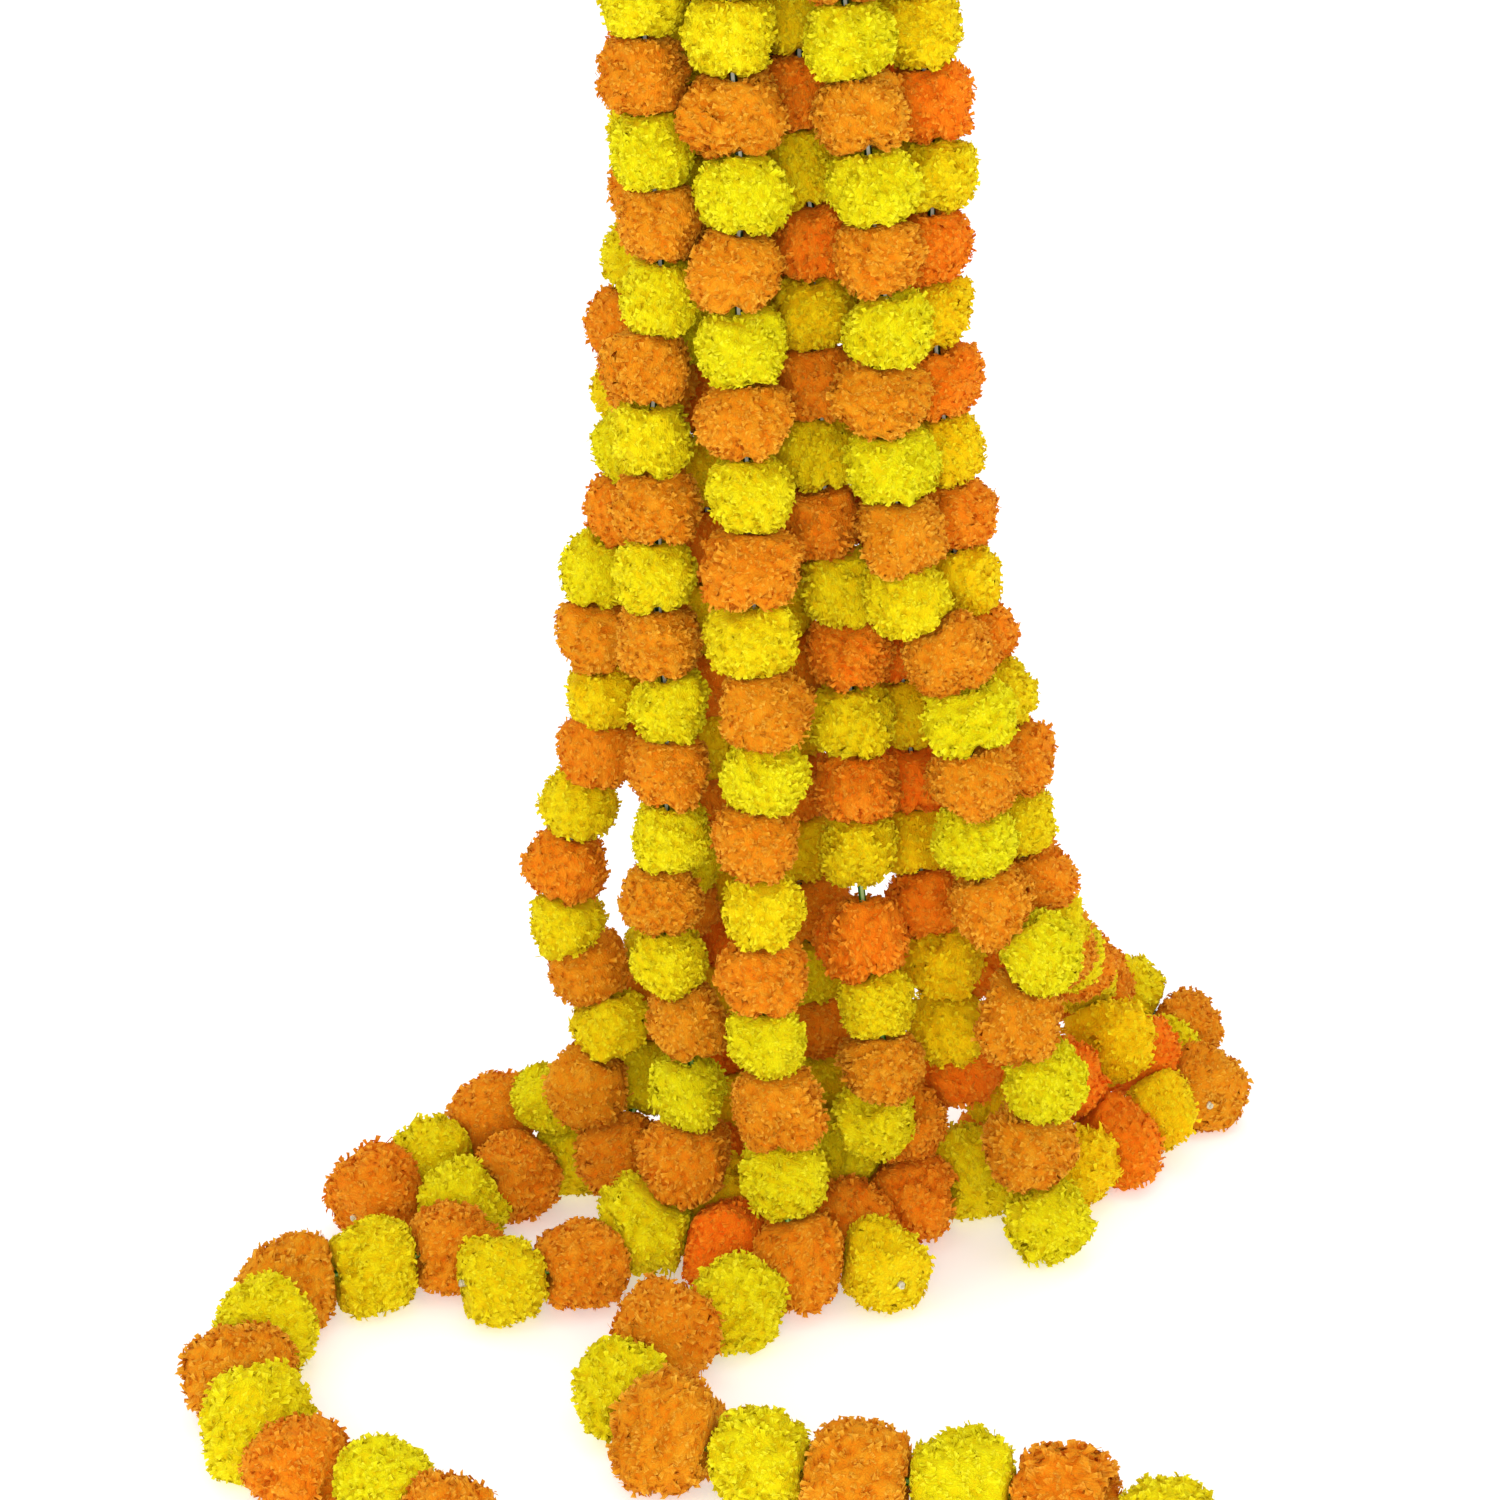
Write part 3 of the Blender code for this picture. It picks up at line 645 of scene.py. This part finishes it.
g = 0
for s_index, ((name, *_rest), middles, neck) in enumerate(zip(STRANDS, laid, necks)):
    runs = _rest[5]
    heaps = {0: Heap(), 1: Heap()}
    for k, c in enumerate(middles):
        seen = name in IN_FRONT or (c[2] < 110 and c[1] < 150)
        kinds = FINE if seen else PLAIN
        kind = kinds[rng.integers(len(kinds))]
        axis = unit(neck[k + 1] - neck[k])
        lean = unit(axis + 0.10 * rng.normal(size=3))
        size = sizes_all[g] * rng.uniform(0.965, 1.035)
        half = 0.5 * (np.linalg.norm(neck[k] - c) + np.linalg.norm(neck[k + 1] - c)) + 1.6
        half = min(half, size * 1.02)
        local = kind[0].copy()
        # a lopsided push, so that no two blooms are the same
        tilt = rng.uniform(0, 2 * np.pi)
        along = (local[:, 0] * np.cos(tilt) + local[:, 1] * np.sin(tilt)) / BLOOM_A
        local[:, 2] *= 1 + 0.08 * along * rng.normal()
        local[:, :2] *= (1 + 0.05 * rng.normal() * along)[:, None]
        local[:, 2] += 1.3 * rng.normal() * along
        local[:, :2] *= (size - 1.0) / BLOOM_A
        local[:, 2] *= (half - 0.5) / BLOOM_B
        if rng.random() < 0.5:
            local = local * np.array([1, -1, -1])
        if k == len(middles) - 1:
            # the last bloom's petals close over the stop knot
            local[:, 2] -= 0.30 * half * np.exp(-(local[:, 0]**2 + local[:, 1]**2) / 81.0) * (local[:, 2] < 0)
        side = unit(np.cross(lean, [0.3, 1.0, 0.2]))
        turn = rng.uniform(0, 2 * np.pi)
        e1 = side * np.cos(turn) + np.cross(lean, side) * np.sin(turn)
        e2 = np.cross(lean, e1)
        # local z runs up the strand, against the way the blooms are counted
        world = local[:, :1] * e1 - local[:, 1:2] * e2 - local[:, 2:] * lean
        # and it sits a little to one side of its cord
        world += (rng.normal(0, 1.5) * e1 + rng.normal(0, 1.5) * e2)
        # where each point lies round the cord, from the side that is seen
        front = unit(to_camera - axis * axis.dot(to_camera))
        beside = np.cross(axis, front)
        for link, sign in ((k, -1.0), (k + 1, 1.0)):
            nxt = k + int(sign)
            n = sign * axis if not 0 <= nxt < len(middles) else unit(middles[nxt] - c)
            x, y = world @ front, world @ beside
            about, out = np.arctan2(y, x), np.hypot(x, y) / size
            amp, start, open_ = PRESS[(s_index, link)]
            wave = sum(amp[w] * np.cos((w + 1) * about - start[w]) for w in range(3))
            wave *= np.clip(out / 0.6, 0, 1) ** 2
            # a parting in the petals, along the line of sight, shows the straw
            sink = min(0.5, max(0.0, -n.dot(to_camera) / max(front.dot(to_camera), 0.3)))
            room = np.exp(-((y / (2.5 + 0.06 * np.maximum(x, 0))) ** 2)) * np.clip(x / 5.0, 0, 1)
            part = np.clip((open_ - 0.15) / 0.4, 0, 1) * (0.9 + (1.6 + 0.7 * sink * np.maximum(x, 0) if sign > 0 else 0.0)) * room
            span = np.linalg.norm(middles[nxt] - c) * 0.5 if 0 <= nxt < len(middles) else np.linalg.norm(neck[link] - c)
            h = world @ n
            most = span + sign * wave - part + 0.9
            world += (soft_limit(h, most, 0.80) - h)[:, None] * n
        reach = 1.15 * size
        d = everyone - c
        far = np.linalg.norm(d, axis=1)
        for m in np.nonzero((far > 1.0) & (far < reach + 1.15 * sizes_all))[0]:
            if owner[m] == s_index and abs(index[m] - k) == 1:
                continue
            n = d[m] / far[m]
            most = far[m] * size / (size + sizes_all[m]) + 0.4
            h = world @ n
            world += (soft_limit(h, most) - h)[:, None] * n
        h = -world[:, 2]
        world[:, 2] -= soft_limit(h, c[2] - 0.6, 0.82) - h
        grain = kind[4] + np.array([0, 0, 17.0 * g])
        # painted shade by strand and height, plus a random spread of tone from bloom to bloom
        high, low = SHADE_DEPTH[name]
        shade_depth = np.clip(low + (high - low) * np.clip((c[2] - 200.0) / 500.0, 0, 1) + rng.normal(0, 0.12), 0, 1)
        heaps[k % 2].add(world + c, kind[1], kind[2], edge=kind[3], tone=np.full(len(world), shade_depth), grain=grain)
        g += 1
    firsts = np.concatenate([[0], np.cumsum(runs)[:-1]])
    by_colour = {0: [], 1: []}
    for r, f in enumerate(firsts):
        by_colour[int(f) % 2].append(f"{name}_blooms_{r + 1}")
    if not by_colour[1]:
        by_colour[1] = by_colour[0][1:]
        by_colour[0] = by_colour[0][:1]
    heaps[0].piece(name + "_yellow_blooms", YELLOW, "bloom_yellow", by_colour[0])
    heaps[1].piece(name + "_orange_blooms", ORANGE, "bloom_orange", by_colour[1])

# -------------------------------------------------------------------- straws
rng = np.random.default_rng(31)
for (name, *_), middles, neck in zip(STRANDS, laid, necks):
    heap = Heap()
    for k in range(1, len(middles)):
        a, b = middles[k - 1], middles[k]
        half = 0.5 * np.linalg.norm(b - a) - 12.5
        m = neck[k]
        t1, t2 = unit(m - neck[k - 1]), unit(neck[k + 1] - m)
        axis = unit(b - a)
        line = np.array([m - half * unit(t1 + 2 * axis), m, m + half * unit(t2 + 2 * axis)])
        t, s, u = carried_frames(line)
        front = unit(np.array([0.0, -1.0, 0.42]) - axis * axis.dot([0.0, -1.0, 0.42]))
        # the pale painted highlight stripe is turned towards the camera
        turn = math.atan2(front.dot(u[1]), front.dot(s[1])) + rng.normal(0, 0.3)
        ang = 2 * np.pi * np.arange(12) / 12 + turn
        ring = np.cos(ang)[None, :, None] * s[:, None] + np.sin(ang)[None, :, None] * u[:, None]
        outer = line[:, None] + 2.5 * ring
        inner = (line[:, None] + 2.05 * ring)[::2][::-1]
        v = np.concatenate([outer, inner]).reshape(-1, 3)
        n = 5
        kk, cc = np.meshgrid(np.arange(n), np.arange(12), indexing="ij")
        quads = np.stack([kk * 12 + cc, kk * 12 + (cc + 1) % 12, (kk + 1) % n * 12 + (cc + 1) % 12, (kk + 1) % n * 12 + cc], -1)
        # straws low down and in front are painted as lit, those up in the bunch as shaded
        lit = np.clip((420.0 - m[2] - 0.9 * m[1]) / 120.0, 0, 1)
        heap.add(v, quads.ravel(), np.full(n * 12, 4), light=np.full(len(v), lit),
                 streak=np.tile(0.5 + 0.5 * np.cos(3 * (np.arange(12) * 2 * np.pi / 12)), n))
    heap.piece(name + "_straws", STRAW, "straw")

# ------------------------------------------------------- knot and hanging loop
heap = Heap()
turns = 8.5
w = np.linspace(0, turns * 2 * np.pi, 260)
rise = 1.6 + (24.0 - 3.2) * w / w[-1]
coil = np.stack([HANG[0] + 7.1 * np.cos(w), HANG[1] + 7.1 * np.sin(w), TIE_BOTTOM + rise], 1)
v, loops, sizes, *_ = tube(coil, 1.3, 8)
heap.add(v, loops, sizes)
core = np.array([[HANG[0], HANG[1], TIE_BOTTOM + h] for h in (0.3, 2.0, 12.0, 22.0, 23.7)])
v, loops, sizes, *_ = tube(core, [5.6, 6.9, 7.2, 6.9, 4.5], 20)
heap.add(v, loops, sizes)
heap.piece("gathering_whipping", BINDING, "binding", ["gathering_knot"])

bottom, top = TIE_BOTTOM + 24.0 + GAP + 2.0, HANG[2] + 2.0
ang = 2 * np.pi * np.arange(240) / 240
mid = np.stack([HANG[0] + 19.0 * np.sin(ang) * np.sin(ang / 2) ** 1.3, np.full(240, HANG[1]),
                bottom + (top - bottom) * (1 - np.cos(ang)) / 2], 1)
closed = np.vstack([mid[-1:], mid, mid[:1]])
tan = closed[2:] - closed[:-2]
tan /= np.linalg.norm(tan, axis=1)[:, None]
front = np.tile([0.0, 1.0, 0.0], (240, 1))
beside = np.cross(tan, front)
heap = Heap()
for ply in (0, np.pi):
    twist = 22 * ang + ply
    strand_line = mid + 0.95 * (np.cos(twist)[:, None] * front + np.sin(twist)[:, None] * beside)
    v, loops, sizes, *_ = tube(strand_line, 1.05, 8, closed=True)
    heap.add(v, loops, sizes)
heap.piece("hanging_cord_loop", BINDING, "binding", ["hanging_loop"])


# ------------------------------------------------------------ floor and light
floor_mesh = bpy.data.meshes.new("floor")
floor_mesh.from_pydata([(-14, -8, FLOOR_Z), (14, -8, FLOOR_Z), (14, 20, FLOOR_Z), (-14, 20, FLOOR_Z)], [], [(0, 1, 2, 3)])
floor = bpy.data.objects.new("floor", floor_mesh)
bpy.context.scene.collection.objects.link(floor)
paper, tree, shader = new_material("floor_pale")
shader.inputs["Base Color"].default_value = (0.90, 0.90, 0.90, 1.0)
shader.inputs["Emission Color"].default_value = (1.0, 1.0, 1.0, 1.0)
shader.inputs["Emission Strength"].default_value = 0.36
shader.inputs["Roughness"].default_value = 0.9
shader.inputs["Specular IOR Level"].default_value = 0.0
floor.data.materials.append(paper)


def area_light(name, location, target, size, power, colour=(1, 1, 1)):
    data = bpy.data.lights.new(name, "AREA")
    data.shape = "DISK"
    data.size, data.energy, data.color = size, power, colour
    light = bpy.data.objects.new(name, data)
    bpy.context.scene.collection.objects.link(light)
    light.location = location
    x, y, z = (t - l for t, l in zip(target, location))
    light.rotation_euler = (math.atan2(math.hypot(x, y), -z), 0.0, math.atan2(x, -y) + math.pi)
    return light


area_light("front", (-0.12, -2.85, 0.28), (0.0, 0.0, -0.75), 1.2, 27.0)
area_light("key", (-1.6, -1.9, 1.8), (0.0, 0.0, -0.8), 2.0, 7.5)
area_light("top", (0.5, 0.2, 2.4), (0.0, 0.0, -1.0), 2.2, 11.0)

world = bpy.data.worlds.new("studio")
bpy.context.scene.world = world
world.use_nodes = True
world.node_tree.nodes["Background"].inputs["Color"].default_value = (1.0, 1.0, 1.0, 1.0)
world.node_tree.nodes["Background"].inputs["Strength"].default_value = 0.88
bpy.context.scene.view_settings.view_transform = "Standard"
bpy.context.scene.view_settings.look = "None"
